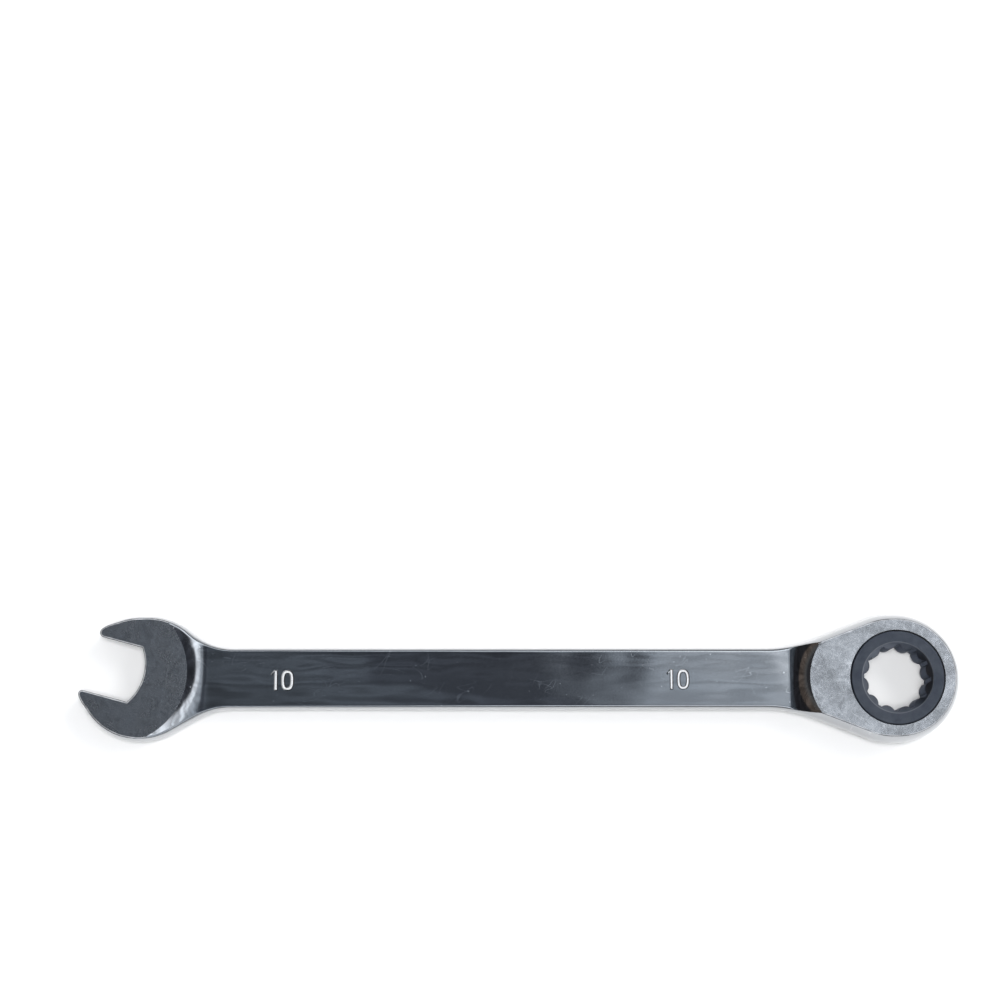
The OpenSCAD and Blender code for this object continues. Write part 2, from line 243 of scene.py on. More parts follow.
def ring_slope(x, y):
    """Share of the way down the ring end's slope: 0 or less on its face, 1 at its foot."""
    start = ring_face_x - face_end(0, ring_face_radius, y)
    return (start - x) / (start - ring_foot)


def open_slope(x, y):
    """Share of the way down the open end's slope: 0 or less on its face, 1 at its foot."""
    start = open_face_x + face_end(open_face_y, open_face_radius, y)
    return (x - start) / (open_foot - start)


def half_height(x, y):
    """Half of the body's thickness over a point of the plan."""
    ring, jaw = ring_slope(x, y), open_slope(x, y)
    heads = np.maximum((mid_z - handle_half) * slope_profile(ring),
                       (open_half - handle_half) * slope_profile(jaw))
    bow = handle_bow * (y / handle_edge) ** 2 * ease(np.minimum(ring, jaw))
    return handle_half + heads - bow


def crown_weight(points):
    """1 where the wall bulges, 0 at the jaw and its tips, where it is straight."""
    jaw = np.array(jaw_outline())
    near = np.linalg.norm(points[:, None] - jaw[None], axis=2).min(1)
    return ease((near - crown_start) / crown_fade)


def edge_rounding(x, y):
    """Height of the edge's rounding, small round the ground heads, and its width as a share of that."""
    down = ease(np.minimum(ring_slope(x, y), open_slope(x, y)))
    return face_edge + (handle_round - face_edge) * down, face_spread + (1 - face_spread) * down


def wall_rows(points, wall_steps=6, edge_steps=5):
    """Rings of points from mid-height up to the face's edge, as rows of (x, y, height)."""
    into = inward(points)
    weight = crown_weight(points)
    height = half_height(points[:, 0], points[:, 1])
    # the rim's height depends on how far in it lies, so it is found in a few rounds
    for _ in range(4):
        edge, spread = edge_rounding(points[:, 0], points[:, 1])
        start = (height - edge) / (1 - weight * edge / crown_radius)
        lean = np.arcsin(weight * start / crown_radius)
        bulge = weight * (crown_radius - np.sqrt(crown_radius ** 2 - start ** 2))
        rim = points + into * (bulge + spread * edge * np.cos(lean))[:, None]
        height = half_height(rim[:, 0], rim[:, 1])
    rows = []
    for k in range(wall_steps + 1):
        h = start * k / wall_steps
        inset = weight * (crown_radius - np.sqrt(crown_radius ** 2 - h ** 2))
        rows.append(np.column_stack([points + into * inset[:, None], h]))
    for k in range(1, edge_steps + 1):
        turn = lean + (math.pi / 2 - lean) * k / edge_steps
        inset = bulge + spread * edge * (np.cos(lean) - np.cos(turn))
        h = start + edge * (np.sin(turn) - np.sin(lean))
        rows.append(np.column_stack([points + into * inset[:, None], h]))
    return rows


def inside(points, loop):
    """Which points lie inside a closed loop."""
    x, y = points[:, 0][:, None], points[:, 1][:, None]
    x1, y1 = loop[:, 0][None], loop[:, 1][None]
    x2, y2 = np.roll(loop[:, 0], -1)[None], np.roll(loop[:, 1], -1)[None]
    crosses = (y1 > y) != (y2 > y)
    at = x1 + (y - y1) * (x2 - x1) / np.where(y2 == y1, 1e-12, y2 - y1)
    return (crosses & (x < at)).sum(1) % 2 == 1


# ---- Size marks stamped in the handle
POLISHED, GROUND, STAMPED, RIM_HIGHLIGHT = range(4)  # the body's material slots; the last is a painted highlight on the heads' rims
mark_height, mark_stroke, mark_depth, mark_wall = 3.7, 0.64, 0.14, 0.17
mark_places = (-42.9, -0.35), (28.45, -0.2)
figure_offset, figure_half = 1.05, 1.15  # of each figure from the mark's middle, and the 0's half width
mark_margin = 0.3  # no free points this close to a mark


def oval(centre, half_width, half_tall, count=40):
    """An upright oval with flattened sides, anticlockwise."""
    turn = np.linspace(0, 2 * math.pi, count, endpoint=False)
    power = 0.75
    x = np.sign(np.cos(turn)) * np.abs(np.cos(turn)) ** power * half_width
    y = np.sign(np.sin(turn)) * np.abs(np.sin(turn)) ** power * half_tall
    return np.column_stack([x, y]) + centre


def mark_loops(x, y):
    """Loops of the figures 1 and 0 as (points, whether it is at the bottom of the groove)."""
    tall, thin = mark_height / 2, mark_stroke / 2
    # the stem, then the short flag to its left
    one = np.array([[-thin, -tall], [thin, -tall], [thin, tall], [-thin, tall],
                    [-0.95, tall - 0.8], [-0.75, tall - 1.05], [-thin, tall - 0.62]])
    one = one + (x - figure_offset, y)
    zero = (x + figure_offset, y)
    half = figure_half
    return [
        (one, False), (one + inward(one) * mark_wall, True),
        (oval(zero, half, tall), False),
        (oval(zero, half - mark_wall, tall - mark_wall), True),
        (oval(zero, half - mark_stroke + mark_wall, tall - mark_stroke + mark_wall), True),
        (oval(zero, half - mark_stroke, tall - mark_stroke), False),
    ]


def slope_row(share):
    """Points across the plan at one share of the way down each head's slope."""
    y = np.arange(-ring_radius, ring_radius, row_step)
    ring = ring_face_x - face_end(0, ring_face_radius, y)
    jaw = open_face_x + face_end(open_face_y, open_face_radius, y)
    return (np.column_stack([ring + (ring_foot - ring) * share, y]),
            np.column_stack([jaw + (open_foot - jaw) * share, y]))


def plan_points(rim, bore, marks):
    """Points inside a face: a grid, and rows along the arcs where a head slopes to the handle."""
    xs = np.arange(rim[:, 0].min(), rim[:, 0].max(), plan_step)
    ys = np.arange(rim[:, 1].min(), rim[:, 1].max(), plan_step)
    grid = np.stack(np.meshgrid(xs, ys), -1).reshape(-1, 2)
    grid[:, 0] += plan_step / 2 * (np.round(grid[:, 1] / plan_step) % 2)
    near = np.minimum(ring_slope(grid[:, 0], grid[:, 1]), open_slope(grid[:, 0], grid[:, 1]))
    grid = grid[(near < grid_before) | (near > grid_after)]
    rows = [row for k in range(1, slope_rows + foot_rows + 1) for row in slope_row(k / slope_rows)]
    beside = [rim + inward(rim) * inset for inset in rim_insets]
    points = np.concatenate([grid, *rows, *beside])
    # the least distance from the rim that each point needs
    clear = np.repeat([rim_insets[-1] + beyond_rim, *(beside_share * inset for inset in rim_insets)],
                      [len(grid) + sum(map(len, rows)), *map(len, beside)])
    within = inside(points, rim)
    points, clear = points[within], clear[within]
    keep = np.linalg.norm(points - (ring_x, 0), axis=1) > bore + plan_step / 3
    for chunk in np.array_split(np.arange(len(rim)), 8):
        keep &= np.linalg.norm(points[:, None] - rim[None, chunk], axis=2).min(1) > clear
    for loop, _ in marks:
        low, high = loop.min(0) - mark_margin, loop.max(0) + mark_margin
        keep &= ~((points > low) & (points < high)).all(1)
    return points[keep]


def face_plan(rim, bore, marks):
    """Triangles of one face between its rim and the bore, with any marks sunk in it."""
    hole = np.array(arc((ring_x, 0), bore, 0, 360, row_step)[:-1])
    loops = [(rim, False), (hole, False), *marks]
    free = plan_points(rim, bore, marks)
    points, edges, sunk = [], [], []
    # an edge across the plan where each head's flat face ends
    for row in slope_row(0):
        row = row[inside(row, rim + inward(rim) * row_inset)]
        first = len(points)
        points += [Vector(p) for p in row]
        edges += [(first + i, first + i + 1) for i in range(len(row) - 1)]
        sunk += [False] * len(row)
    offset = len(points)
    for loop, low in loops:
        first, count = len(points), len(loop)
        points += [Vector(p) for p in loop]
        edges += [(first + i, first + (i + 1) % count) for i in range(count)]
        sunk += [low] * count
    points += [Vector(p) for p in free]
    sunk += [False] * len(free)
    made = delaunay_2d_cdt(points, edges, [], 0, 1e-7)
    flat = np.array([tuple(v) for v in made[0]])
    place = {old: new for new, olds in enumerate(made[3]) for old in olds}
    low = np.zeros(len(flat), bool)
    for old, new in place.items():
        low[new] |= sunk[old]
    triangles = np.array([tuple(f) for f in made[2]])
    middle = flat[triangles].mean(1)
    triangles = triangles[inside(middle, rim) & ~inside(middle, hole)]
    height = half_height(flat[:, 0], flat[:, 1]) - mark_depth * low
    middle = flat[triangles].mean(1)
    finish = np.where(np.minimum(ring_slope(middle[:, 0], middle[:, 1]),
                                 open_slope(middle[:, 0], middle[:, 1])) < 0, GROUND, POLISHED)
    finish[low[triangles].all(1)] = STAMPED
    rim_ids = [place[offset + i] for i in range(len(rim))]
    hole_ids = [place[offset + len(rim) + i] for i in range(len(hole))]
    return np.column_stack([flat, height]), triangles, finish, rim_ids, hole_ids


class Shell:
    """Collects the vertices and faces of one mesh."""

    def __init__(self):
        self.points, self.faces, self.materials = [], [], []

    def add(self, points):
        """Adds points and returns their indices."""
        first = len(self.points)
        self.points += [tuple(p) for p in points]
        return list(range(first, len(self.points)))

    def strip(self, low, high, material=0):
        """Quads between two rings of indices. They face right of the way the rings run, low to high up.

        The material is one number, or one for each quad."""
        count = len(low)
        materials = np.broadcast_to(material, count)
        for i in range(count):
            j = (i + 1) % count
            self.face([low[i], low[j], high[j], high[i]], int(materials[i]))

    def face(self, ids, material=0):
        """One face, unless two of its corners are the same."""
        if len(set(ids)) == len(ids):
            self.faces.append(ids)
            self.materials.append(material)

    def build(self, name, materials, sharp=40):
        """Makes the object, in metres, with smooth faces and sharp edges where it turns fast."""
        mesh = bpy.data.meshes.new(name)
        mesh.from_pydata((np.array(self.points) * MM).tolist(), [], self.faces)
        mesh.polygons.foreach_set("material_index", self.materials)
        for material in materials:
            mesh.materials.append(material)
        finish_mesh(mesh, sharp)
        made = bpy.data.objects.new(name, mesh)
        bpy.context.scene.collection.objects.link(made)
        return made


def finish_mesh(mesh, sharp):
    """Smooth faces, with sharp edges at turns over an angle and where two materials meet."""
    mesh.validate()
    mesh.polygons.foreach_set("use_smooth", [True] * len(mesh.polygons))
    mesh.set_sharp_from_angle(angle=math.radians(sharp))
    beside = {}
    for polygon in mesh.polygons:
        for key in polygon.edge_keys:
            beside.setdefault(key, set()).add(polygon.material_index)
    for edge in mesh.edges:
        if len(beside.get(edge.key, ())) > 1:
            edge.use_edge_sharp = True
    mesh.update()


def circle_points(r, z, count, turn=0):
    """A ring of points round the gear's axis."""
    return [(*(polar(r, turn + 360 * i / count) + (ring_x, 0)), z) for i in range(count)]


def body_shell():
    """The wrench's forged body as one closed shell, with the gear's stepped bore."""
    outline = body_outline()
    rows = wall_rows(outline)
    rim = rows[-1][:, :2]
    shell = Shell()
    marks = [loop for place in mark_places for loop in mark_loops(*place)]
    rings = {}
    for side, bore, stamped in ((1, lip_bore + bore_bevel, marks), (-1, gear_bore + bore_bevel, [])):
        points, triangles, finish, rim_ids, hole_ids = face_plan(rim, bore, stamped)
        ids = shell.add(np.column_stack([points[:, :2], mid_z + side * points[:, 2]]))
        for corners, material in zip(triangles, finish):
            corners = corners if side > 0 else corners[::-1]
            shell.face([ids[c] for c in corners], int(material))
        rings[side] = ([ids[i] for i in rim_ids], [ids[i] for i in hole_ids])
    walls = [shell.add(np.column_stack([r[:, :2], mid_z - r[:, 2]])) for r in rows[-2:0:-1]]
    walls += [shell.add(np.column_stack([r[:, :2], mid_z + r[:, 2]])) for r in rows[:-1]]
    walls = [rings[-1][0], *walls, rings[1][0]]
    # the rows of the edge's rounding nearest each head's face carry a painted highlight
    on_head = np.minimum(ring_slope(rim[:, 0], rim[:, 1]), open_slope(rim[:, 0], rim[:, 1])) < 0
    for k, (low, high) in enumerate(zip(walls, walls[1:])):
        near_face = min(k, len(walls) - 2 - k) < highlight_rows
        shell.strip(low, high, np.where(on_head & near_face, RIM_HIGHLIGHT, POLISHED))
    bore_wall(shell, rings[1][1], rings[-1][1])
    return shell


def bore_wall(shell, top, bottom):
    """The stepped bore from the lip's mouth down to the lower mouth, with the retaining ring's groove."""
    groove = snap_outer + groove_play
    profile = [(lip_bore, 2 * mid_z - bore_bevel), (lip_bore, lip_z), (gear_bore, lip_z),
               (gear_bore, snap_high[2]), (groove, snap_high[2]), (groove, snap_low[2]),
               (gear_bore, snap_low[2]), (gear_bore, bore_bevel)]
    count = len(top)
    rings = [top]
    for r, z in profile:
        rings.append(shell.add(circle_points(r, z, count)))
    last = shell.add(circle_points(gear_bore + bore_bevel / 2, bore_bevel / 2, count))
    rings.append(last)
    for high, low in zip(rings, rings[1:]):
        shell.strip(high, low)
    stitch(shell, last, bottom)


def stitch(shell, upper, lower):
    """Triangles between two closed rings of different counts that start at the same angle."""
    a, b = 0, 0
    while a < len(upper) or b < len(lower):
        up, down = upper[a % len(upper)], lower[b % len(lower)]
        if b >= len(lower) or (a < len(upper) and (a + 1) * len(lower) <= (b + 1) * len(upper)):
            shell.face([up, upper[(a + 1) % len(upper)], down])
            a += 1
        else:
            shell.face([up, lower[(b + 1) % len(lower)], down])
            b += 1


def cylinder_cutter(name, r, centre, axis, length, count=96):
    """A closed cylinder from a centre along an axis, to be cut from another mesh."""
    slanted = (0, 0.6, 0.8)  # any direction that isn't along the axis
    across = np.cross(axis, slanted)
    across /= np.linalg.norm(across)
    other = np.cross(axis, across)
    shell = Shell()
    ends = []
    for along in (0, length):
        ends.append(shell.add([np.array(centre) + np.array(axis) * along
                               + r * (math.cos(t) * across + math.sin(t) * other)
                               for t in np.linspace(0, 2 * math.pi, count, endpoint=False)]))
    shell.strip(*ends)
    shell.face(ends[0][::-1])
    shell.face(ends[1])
    return shell.build(name, [])


def cut(target, cutter):
    """Cuts one object out of another for good."""
    modifier = target.modifiers.new("cut", "BOOLEAN")
    modifier.operation, modifier.solver, modifier.object = "DIFFERENCE", "EXACT", cutter
    graph = bpy.context.evaluated_depsgraph_get()
    mesh = bpy.data.meshes.new_from_object(target.evaluated_get(graph))
    target.modifiers.remove(modifier)
    target.data = mesh
    bpy.data.objects.remove(cutter)


# ---- Gear sizes
tooth_count = 72
tooth_height, collar_radius = 0.45, 8.4
tooth_root = gear_radius - tooth_height
tooth_low, tooth_high = 1.4, 6.8
land_radius, point_radius, mouth_radius, mouth_depth = 1.5, 6.0, 6.35, 0.9
land_soft = 0.12  # rounding where a land meets a point
tip_share, flank_share = 0.1, 0.32  # of half a tooth's pitch
socket_turn = -3  # angle of one of the socket's points from +X
around = 12 * tooth_count  # points round the gear


# ---- Materials
def add_node(tree, kind, inputs=None, **settings):
    """A node with its settings, and its inputs by name or number."""
    node = tree.nodes.new(kind)
    for key, value in settings.items():
        setattr(node, key, value)
    for key, value in (inputs or {}).items():
        if isinstance(value, bpy.types.NodeSocket):
            tree.links.new(value, node.inputs[key])
        else:
            node.inputs[key].default_value = value
    return node


class Graph:
    """Short ways to add nodes to a material and join them."""

    def __init__(self, name):
        self.material = bpy.data.materials.new(name)
        self.material.use_nodes = True
        self.tree = self.material.node_tree
        self.shader = self.tree.nodes["Principled BSDF"]
        self.place = self.add("ShaderNodeTexCoord").outputs["Object"]

    def add(self, kind, inputs=None, **settings):
        """Adds a node to the material."""
        return add_node(self.tree, kind, inputs, **settings)

    def maths(self, operation, a, b=0.0, clamp=False):
        """The result of one operation on two values."""
        return self.add("ShaderNodeMath", {0: a, 1: b}, operation=operation, use_clamp=clamp).outputs[0]

    def turned(self, angle, scale):
        """The object's coordinates turned about Z and scaled, to stretch a texture along one way."""
        turned = self.add("ShaderNodeMapping", {"Vector": self.place,
                                                "Rotation": (0, 0, math.radians(angle))})
        return self.add("ShaderNodeMapping", {"Vector": turned.outputs[0], "Scale": scale}).outputs[0]

    def noise(self, scale, detail=3.0, vector=None, rough=0.5, warp=0.0):
        """Noise from 0 to 1, with its scale in cycles per metre."""
        node = self.add("ShaderNodeTexNoise", {"Vector": vector or self.place, "Scale": scale,
                                               "Detail": detail, "Roughness": rough, "Distortion": warp})
        return node.outputs["Fac"]

    def spread(self, value, low, high, to_low=0.0, to_high=1.0):
        """Maps a value from one range to another, held at the ends."""
        return self.add("ShaderNodeMapRange", {0: value, 1: low, 2: high, 3: to_low, 4: to_high}).outputs[0]

    def scratches(self, angle, spacing, width, seed, length=14):
        """Thin long lines across the part at one angle: the level lines of a stretched noise."""
        vector = self.turned(angle, (1 / length, 1, 1))
        moved = self.add("ShaderNodeMapping", {"Vector": vector, "Location": (seed * 0.37, seed * 0.11, 0)})
        level = self.noise(1 / (spacing * MM), 1.0, moved.outputs[0], warp=0.3)
        off = self.maths("ABSOLUTE", self.maths("SUBTRACT", level, 0.5))
        return self.spread(off, 0.0, width, 1.0, 0.0)

    def mix(self, factor, a, b):
        """Mixes two colours."""
        node = self.add("ShaderNodeMix", {0: factor, 6: a, 7: b}, data_type="RGBA")
        return node.outputs[2]

    def join(self, value, socket):
        """Joins a value to the shader."""
        self.tree.links.new(value, self.shader.inputs[socket])

    def bump(self, height, depth, strength=1.0):
        """Raises the surface by a height from 0 to 1, times a depth in mm."""
        node = self.add("ShaderNodeBump", {"Height": height, "Distance": depth * MM, "Strength": strength})
        self.join(node.outputs[0], "Normal")


def summed(graph, values):
    """Sum of values with their weights."""
    total = None
    for value, weight in values:
        part = graph.maths("MULTIPLY", value, weight)
        total = part if total is None else graph.maths("ADD", total, part)
    return total


def polished_chrome():
    """Bright chrome plate over a polished forging: smears, faint ripples and a few fine scratches."""
    g = Graph("polished_chrome")
    smear = g.noise(90, 4, g.turned(0, (0.35, 1, 1)))
    grain = g.noise(2600, 2)
    fine = g.scratches(8, 2.6, 0.007, 1, 5)
    cross = g.scratches(-52, 3.1, 0.006, 2, 3)
    where = g.spread(g.noise(160, 2), 0.5, 0.6)
    lines = g.maths("MULTIPLY", g.maths("ADD", fine, cross, True), where)
    nick = g.spread(g.noise(1500, 1), 0.765, 0.8, 0.0, 0.7)
    marks = g.maths("MAXIMUM", g.maths("MULTIPLY", lines, 0.35), nick)
    plate = g.mix(g.spread(smear, 0.3, 0.75), (0.47, 0.48, 0.495, 1), (0.38, 0.39, 0.405, 1))
    g.join(g.mix(marks, plate, (0.85, 0.86, 0.88, 1)), "Base Color")
    rough = summed(g, [(smear, 0.09), (grain, 0.05), (marks, 0.12)])
    g.join(g.spread(rough, 0.05, 0.24, 0.05, 0.26), "Roughness")
    ripple = g.noise(220, 1, g.turned(0, (0.08, 1, 1)))
    wave = g.noise(70, 1)
    dimple = g.noise(330, 1, g.turned(0, (0.3, 1, 1)))
    g.bump(summed(g, [(ripple, 0.7), (wave, 1.5), (dimple, 0.3), (grain, 0.008), (lines, -0.01)]), 0.09)
    g.shader.inputs["Metallic"].default_value = 1.0
    return g.material


def stamped_chrome():
    """Chrome in the stamped marks, where the polishing didn't reach."""
    g = Graph("stamped_chrome")
    grain = g.noise(4200, 3)
    g.join(g.mix(g.spread(grain, 0.35, 0.65), (0.78, 0.79, 0.81, 1), (0.95, 0.96, 0.97, 1)), "Base Color")
    g.join(g.spread(grain, 0.3, 0.7, 0.34, 0.5), "Roughness")
    g.bump(grain, 0.02)
    g.shader.inputs["Metallic"].default_value = 0.4
    return g.material


def rim_highlight_chrome():
    """A painted highlight on the heads' rims: brighter, partly diffuse chrome that stands in for their
    reflections.
    """
    g = Graph("rim_highlight_chrome")
    highlight_patches = g.noise(700, 3)
    # patches of the painted highlight, some brighter and some duller
    g.join(g.mix(g.spread(highlight_patches, 0.35, 0.65), (0.36, 0.37, 0.385, 1), (0.72, 0.73, 0.75, 1)), "Base Color")
    g.shader.inputs["Roughness"].default_value = 0.35
    g.shader.inputs["Metallic"].default_value = 0.5
    return g.material


def ground_chrome():
    """Ground faces under the plate: satin, with crossing scratches, speckle and dull patches."""
    g = Graph("ground_chrome")
    patch = g.noise(260, 5)
    cloud = g.noise(620, 3, warp=0.8)
    speck = g.noise(3200, 4, rough=0.7)
    bright = g.spread(g.noise(2100, 2), 0.6, 0.7)
    lines = [g.scratches(angle, 0.8 + 0.16 * i, 0.024, i + 3, 7)
             for i, angle in enumerate((12, 63, -34, 98, -71, 33))]
    ground = summed(g, [(value, 0.2) for value in lines])
    marks = g.maths("MAXIMUM", g.maths("MULTIPLY", ground, 0.6, True), g.maths("MULTIPLY", bright, 0.3))
    tint = g.mix(g.spread(patch, 0.35, 0.68), (0.6, 0.61, 0.63, 1), (0.43, 0.44, 0.455, 1))
    tint = g.mix(g.spread(cloud, 0.5, 0.68, 0.0, 0.4), tint, (0.29, 0.3, 0.315, 1))
    g.join(g.mix(marks, tint, (0.95, 0.96, 0.97, 1)), "Base Color")
    rough = summed(g, [(patch, 0.25), (speck, 0.1), (ground, -0.14)])
    g.join(g.spread(rough, 0.08, 0.27, 0.2, 0.32), "Roughness")
    g.bump(summed(g, [(speck, 0.05), (ground, -0.5), (patch, 1.2), (cloud, 1.2)]), 0.012)
    g.shader.inputs["Metallic"].default_value = 1.0
    return g.material


def black_oxide():
    """Blackened gear steel with faint turning rings and rubbed edges."""
    g = Graph("black_oxide")
    centred = g.add("ShaderNodeVectorMath", {0: g.place, 1: (ring_x * MM, 0, 0)}, operation="SUBTRACT")
    flat = g.add("ShaderNodeVectorMath", {0: centred.outputs[0], 1: (1, 1, 0)}, operation="MULTIPLY")
    radius = g.add("ShaderNodeVectorMath", {0: flat.outputs[0]}, operation="LENGTH").outputs["Value"]
    rings = g.add("ShaderNodeTexNoise", {"W": radius, "Scale": 5000, "Detail": 2}, noise_dimensions="1D")
    patch = g.noise(420, 4)
    speck = g.noise(5200, 3)
    off = g.maths("ABSOLUTE", g.maths("SUBTRACT", radius, (mouth_radius + 0.05) * MM))
    rub = g.spread(off, 0.0, 0.14 * MM, 1.0, 0.0)
    tint = g.mix(g.spread(patch, 0.3, 0.75), (0.112, 0.126, 0.155, 1), (0.185, 0.202, 0.235, 1))
    g.join(g.mix(g.maths("MULTIPLY", rub, 0.55), tint, (0.42, 0.43, 0.45, 1)), "Base Color")
    rough = summed(g, [(patch, 0.2), (speck, 0.15), (rings.outputs["Fac"], 0.12)])
    g.join(g.spread(rough, 0.12, 0.36, 0.3, 0.5), "Roughness")
    g.bump(speck, 0.008)
    g.shader.inputs["Specular Tint"].default_value = (0.3, 0.31, 0.34, 1)
    g.shader.inputs["Metallic"].default_value = 1.0
    return g.material


def plain_steel(name, light, dark, roughness):
    """Machined inner steel with a fine grain and an oily film."""
    g = Graph(name)
    film = g.noise(500, 3)
    grain = g.noise(3000, 3, g.turned(0, (0.2, 1, 1)))
    lines = g.scratches(5, 0.3, 0.03, 9, 20)
    g.join(g.mix(g.spread(film, 0.3, 0.7), light, dark), "Base Color")
    g.join(g.spread(summed(g, [(film, 0.5), (grain, 0.5)]), 0.3, 0.7,
                    roughness - 0.08, roughness + 0.1), "Roughness")
    g.bump(summed(g, [(grain, 0.7), (lines, -0.3)]), 0.008)
    g.shader.inputs["Metallic"].default_value = 1.0
    return g.material


# ---- Gear
def socket_radius(angle):
    """Radius of the twelve-point socket at an angle, with softened corners where point meets land."""
    distance = (nut_half + land_radius) / math.cos(math.radians(15))
    off = (angle - socket_turn) % 30 - 15
    reach = distance * math.sin(math.radians(off))
    land = distance * math.cos(math.radians(off)) - math.sqrt(max(land_radius ** 2 - reach ** 2, 0))
    blend = max(land_soft - abs(land - point_radius), 0) / land_soft
    return min(land, point_radius) - blend * blend * land_soft / 4


def tooth_radius(angle):
    """Radius over the ratchet teeth at an angle: a flat tip, straight flanks and a flat root."""
    share = abs((angle * tooth_count / 360 + 0.5) % 1 - 0.5)
    return gear_radius - (gear_radius - tooth_root) * min(max((share - tip_share) / flank_share, 0), 1)


def gear_rows():
    """Rows of (radius, height) functions from the socket's middle, over the top, to the teeth's middle."""
    top = gear_high[2]

    def bevel_start(angle):
        slope = (socket_radius(angle) - nut_half) / (mouth_radius - nut_half)
        return top - mouth_depth + slope * mouth_depth

    edge, small = 0.14, 0.05
    return [
        lambda a: (socket_radius(a), mid_z),
        lambda a: (socket_radius(a), mid_z + (bevel_start(a) - mid_z) / 2),
        lambda a: (socket_radius(a), bevel_start(a) - small),
        lambda a: (socket_radius(a) + small / 3, bevel_start(a) + small / 4),
        lambda a: (mouth_radius - edge / 2, top - edge / 2 * mouth_depth / (mouth_radius - nut_half)),
        lambda a: (mouth_radius + edge / 3, top - edge / 8),
        lambda a: (mouth_radius + edge, top),
        lambda a: (mouth_radius + 2 * edge, top),
        lambda a: (collar_radius - 2 * edge, top),
        lambda a: (collar_radius - edge, top),
        lambda a: (collar_radius - edge * 0.3, top - edge * 0.3),
        lambda a: (collar_radius, top - edge),
        lambda a: (collar_radius, top - 2 * edge),
        lambda a: (collar_radius, tooth_high),
        lambda a: (tooth_radius(a) - small, tooth_high),
        lambda a: (tooth_radius(a), tooth_high - small),
        lambda a: (tooth_radius(a), mid_z + 0.5),
        lambda a: (tooth_radius(a), mid_z),
    ]


def ratchet_gear(material):
    """The gear as one closed shell, the same above and below mid-height apart from the teeth's height."""
    shell = Shell()
    angles = [360 * i / around for i in range(around)]
    rows = gear_rows()
    rings = []
    for side in (1, -1):
        for row in (rows if side > 0 else rows[-2:0:-1]):
            ring = []
            for angle in angles:
                r, z = row(angle)
                if side < 0:
                    # the lower half is the upper one turned over, with its teeth cut short
                    z = 2 * mid_z - z
                    z = max(z, tooth_low) if r > collar_radius + 0.01 else z
                ring.append((*(polar(r, angle) + (ring_x, 0)), z))
            rings.append(shell.add(ring))
    for first, second in zip(rings, [*rings[1:], rings[0]]):
        shell.strip(first, second)
    return shell.build("ratchet_gear_steel", [material], 32)


def swept(name, sections, material):
    """A closed bar through rings of points, with flat ends."""
    shell = Shell()
    rings = [shell.add(section) for section in sections]
    for first, second in zip(rings, rings[1:]):
        shell.strip(first, second)
    shell.face(rings[0][::-1])
    shell.face(rings[-1])
    return shell.build(name, [material])


def retaining_ring(material):
    """The open ring in its groove, with rounded corners in section and rounded ends."""
    inner, outer = 8.56, snap_outer
    low, high = snap_low[2], snap_high[2]
    corner, half_gap, end_angle = 0.16, 2.0, 1.3
    taper = ((0.45, 1.3), (0.8, 1.1), (0.95, 0.6), (1, 0))  # share of the section, degrees nearer the end
    gap = math.degrees(math.asin(half_gap / outer))
    end_step, middle_steps = 3, 170  # degrees from an end to the even stations, and how many there are
    section = []
    for cx, cz, start in ((outer - corner, high - corner, 0), (inner + corner, high - corner, 90),
                          (inner + corner, low + corner, 180), (outer - corner, low + corner, 270)):
        section += [(cx + corner * math.cos(math.radians(start + t)),
                     cz + corner * math.sin(math.radians(start + t))) for t in (0, 30, 60, 90)]
    middle = ((inner + outer) / 2, (low + high) / 2)
    stations = [(gap + end_angle - past, share) for share, past in taper]
    stations += [(a, 1) for a in np.linspace(gap + end_step, 360 - end_step - gap, middle_steps)]
    stations += [(360 - gap - end_angle + past, share) for share, past in taper[::-1]]
    sections = []
    for angle, share in stations:
        ring = []
        for r, z in section[::-1]:
            r, z = middle[0] + (r - middle[0]) * share, middle[1] + (z - middle[1]) * share
            ring.append((*(polar(r, angle) + (ring_x, 0)), z))
        sections.append(ring)
    return swept("retaining_ring_wire", sections, material)


def pawl_spring(material):
    """Coil spring with closed ends, round in section."""
    wire, turns, steps, sides = 0.14, 7, 28, 12
    closing = 0.1  # share of the wire at each end that is wound closer
    outer = (spring_high[1] - spring_low[1]) / 2
    centre_z = (spring_high[2] + spring_low[2]) / 2
    coil = outer - wire
    sections = []
    for k in range(turns * steps + 1):
        t = k / (turns * steps)
        rise = np.interp(t, [0, closing, 1 - closing, 1], [0, closing * 0.5, 1 - closing * 0.5, 1])
        turn = 2 * math.pi * turns * t
        x = spring_low[0] + wire + (spring_length - 2 * wire) * rise
        ring = []
        for i in range(sides):
            around_wire = 2 * math.pi * i / sides
            r = coil + wire * math.cos(around_wire)
            ring.append((x + wire * math.sin(around_wire),
                         r * math.cos(turn), centre_z + r * math.sin(turn)))
        sections.append(ring)
    return swept("pawl_spring_wire", sections, material)


# ---- Scene
def look_from(place, tilt, roll, lens):
    """The camera, tilted from straight down towards +Y."""
    data = bpy.data.cameras.new("camera")
    data.lens, data.sensor_width = lens, 36
    data.clip_start, data.clip_end = 0.01, 20
    camera = bpy.data.objects.new("camera", data)
    camera.location = Vector(place) * MM
    camera.rotation_mode = "XYZ"
    camera.rotation_euler = (math.radians(tilt), 0, 0)
    camera.rotation_euler.rotate_axis("Z", math.radians(roll))
    bpy.context.scene.collection.objects.link(camera)
    bpy.context.scene.camera = camera


def area_light(name, place, target, size, power, colour=(1, 1, 1)):
    """A soft square light at a place in mm, facing a target."""
    data = bpy.data.lights.new(name, "AREA")
    data.shape, data.size, data.energy, data.color = "SQUARE", size * MM, power, colour
    lamp = bpy.data.objects.new(name, data)
    lamp.location = Vector(place) * MM
    aim = Vector(target) * MM - lamp.location
    lamp.rotation_euler = aim.to_track_quat("-Z", "Y").to_euler()
    lamp.visible_glossy = False
    bpy.context.scene.collection.objects.link(lamp)


